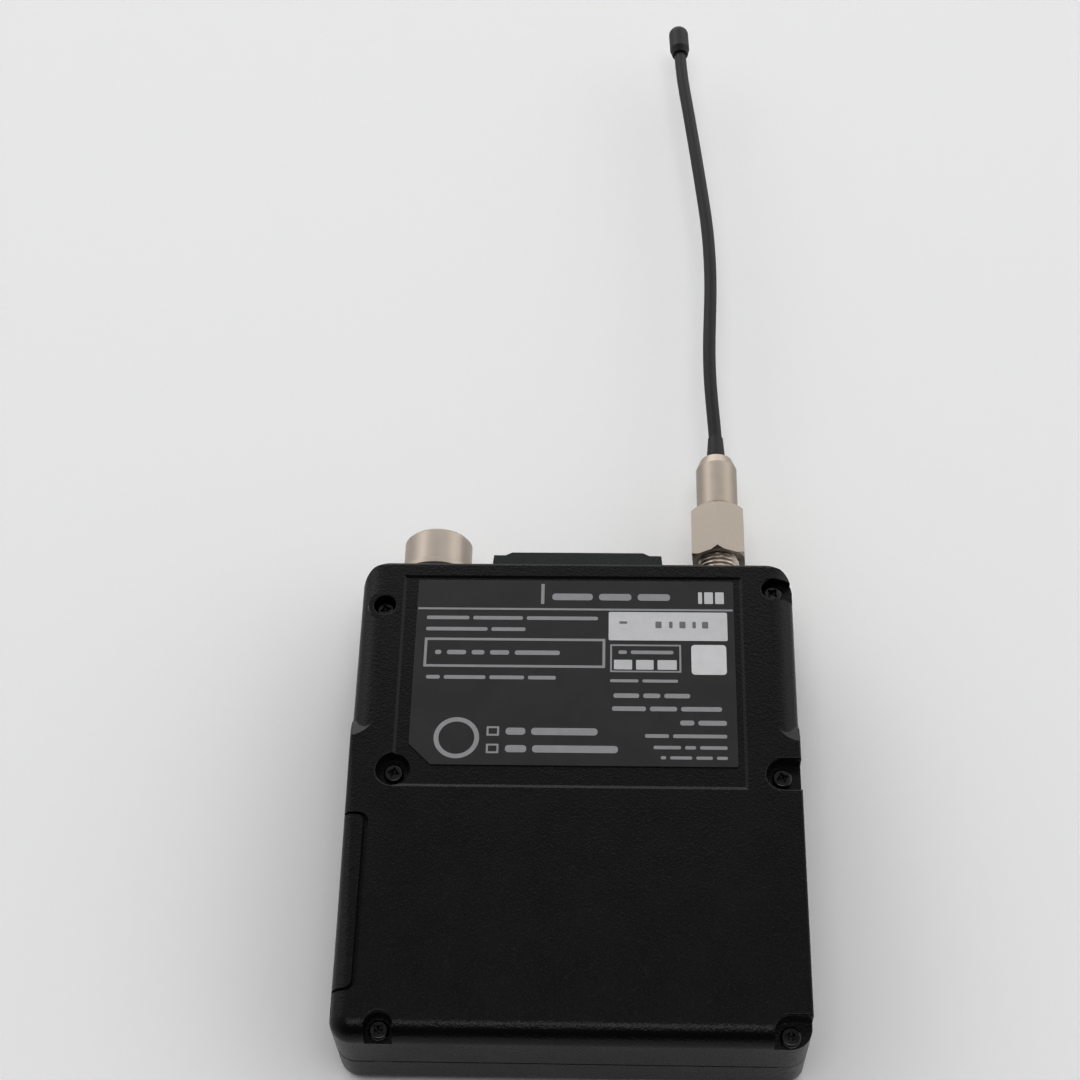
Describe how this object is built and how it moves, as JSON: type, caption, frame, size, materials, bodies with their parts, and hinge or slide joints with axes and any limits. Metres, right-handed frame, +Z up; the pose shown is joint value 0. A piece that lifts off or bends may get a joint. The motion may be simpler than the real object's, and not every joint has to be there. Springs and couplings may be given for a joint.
{
  "type": "wireless bodypack transmitter",
  "caption": "Pocket radio transmitter with two case shells, hinged battery door, locking audio input, threaded coaxial antenna, display, keys and slide switches.",
  "frame": {"origin": "centre of the case footprint on the plane of the front face that it rests on", "axes": "+X to the right and +Y towards the antenna end when the rear cover faces up, +Z up out of the rear cover"},
  "size_m": [0.0638, 0.1938, 0.0185],
  "materials": {
    "case_plastic": "fine-grain moulded black",
    "latch_plastic": "satin black",
    "label_film": "satin dark grey film",
    "black_screw": "black zinc",
    "brass": "turned",
    "steel": "drawn",
    "nickel_strip": "stamped, nickel plated",
    "nickel_plate": "satin nickel plate",
    "cradle_plastic": "moulded",
    "cell_wrap": "plain shrink wrap",
    "circuit_board": "solder mask",
    "chip_plastic": "epoxy package",
    "tin_can": "tinned sheet",
    "flex_film": "polyimide",
    "display_window": "clear, dark backing",
    "display_cell": "reflective display",
    "button_plastic": "satin",
    "indicator_lens": "frosted clear",
    "guard_plastic": "moulded dark grey",
    "led_resin": "resin",
    "collar_rubber": "moulded",
    "insert_plastic": "moulded",
    "antenna_rubber": "satin jacket",
    "lead_jacket": "extruded jacket"
  },
  "bodies": {
    "case": {"rear_shell": "case_plastic", "front_shell": "case_plastic", "label_plate": "label_film", "case_screws": "black_screw", "threaded_inserts": "brass", "door_hinge_pins": "steel", "battery_cradle": "cradle_plastic", "battery_lower": "cell_wrap", "battery_upper": "cell_wrap", "battery_contact_positive": "nickel_strip", "battery_contact_negative": "nickel_strip", "main_board": "circuit_board", "switch_board": "circuit_board", "board_screws": "steel", "board_components": "chip_plastic", "rf_shield_can": "tin_can", "rf_module": "chip_plastic", "switch_flex": "flex_film", "lcd_window": "display_window", "lcd_module": "display_cell", "tact_switches": "chip_plastic", "power_lens": "indicator_lens", "control_guard": "guard_plastic", "power_switch_body": "chip_plastic", "mute_switch_body": "chip_plastic", "indicator_lenses": "indicator_lens", "indicator_leds": "led_resin", "mic_connector_shell": "nickel_plate", "mic_collar": "collar_rubber", "mic_ring_nut": "nickel_plate", "mic_insert": "insert_plastic", "mic_pins": "brass", "antenna_jack": "nickel_plate", "antenna_jack_washer": "steel", "antenna_jack_nut": "nickel_plate", "antenna_jack_contact": "brass", "coax_lead": "lead_jacket", "mic_leads": "lead_jacket"},
    "battery_door": {"battery_door": "case_plastic", "door_contact_strip": "nickel_strip"},
    "door_latch": {"door_latch": "latch_plastic"},
    "set_button": {"set_button": "button_plastic"},
    "plus_button": {"plus_button": "button_plastic"},
    "minus_button": {"minus_button": "button_plastic"},
    "power_switch": {"power_switch_knob": "button_plastic"},
    "mute_switch": {"mute_switch_knob": "button_plastic"},
    "antenna": {"antenna_ferrule": "nickel_plate", "antenna_contact_pin": "brass", "antenna_boot": "antenna_rubber", "antenna_whip": "antenna_rubber", "antenna_cap": "antenna_rubber"},
    "antenna_nut": {"antenna_coupling_nut": "nickel_plate"}
  },
  "joints": [
    {"name": "door_hinge", "type": "hinge", "parent": "case", "child": "battery_door", "pos_m": [-0.03087, -0.0175, 0.00115], "axis": [0, -1, 0], "range_deg": [0, 90]},
    {"name": "door_latch_slide", "type": "slide", "parent": "battery_door", "child": "door_latch", "axis": [0, 1, 0], "range_m": [0, 0.0015]},
    {"name": "set_button_press", "type": "slide", "parent": "case", "child": "set_button", "axis": [0, 0, 1], "range_m": [0, 0.0004], "stiffness_N_per_m": 600},
    {"name": "plus_button_press", "type": "slide", "parent": "case", "child": "plus_button", "axis": [0, 0, 1], "range_m": [0, 0.0004], "stiffness_N_per_m": 600},
    {"name": "minus_button_press", "type": "slide", "parent": "case", "child": "minus_button", "axis": [0, 0, 1], "range_m": [0, 0.0004], "stiffness_N_per_m": 600},
    {"name": "power_switch_slide", "type": "slide", "parent": "case", "child": "power_switch", "axis": [1, 0, 0], "range_m": [0, 0.0022]},
    {"name": "mute_switch_slide", "type": "slide", "parent": "case", "child": "mute_switch", "axis": [1, 0, 0], "range_m": [0, 0.0022]},
    {"name": "antenna_withdraw", "type": "slide", "parent": "case", "child": "antenna", "axis": [0, 1, 0], "range_m": [0, 0.0049]},
    {"name": "antenna_nut_turn", "type": "hinge", "parent": "antenna", "child": "antenna_nut", "pos_m": [0.02165, 0.0465, 0.00925], "axis": [0, 1, 0], "range_deg": [0, 2520]}
  ],
  "couplings": [
    {"joint": "antenna_nut_turn", "follows": "antenna_withdraw", "rad_per_m": 8904.7}
  ]
}
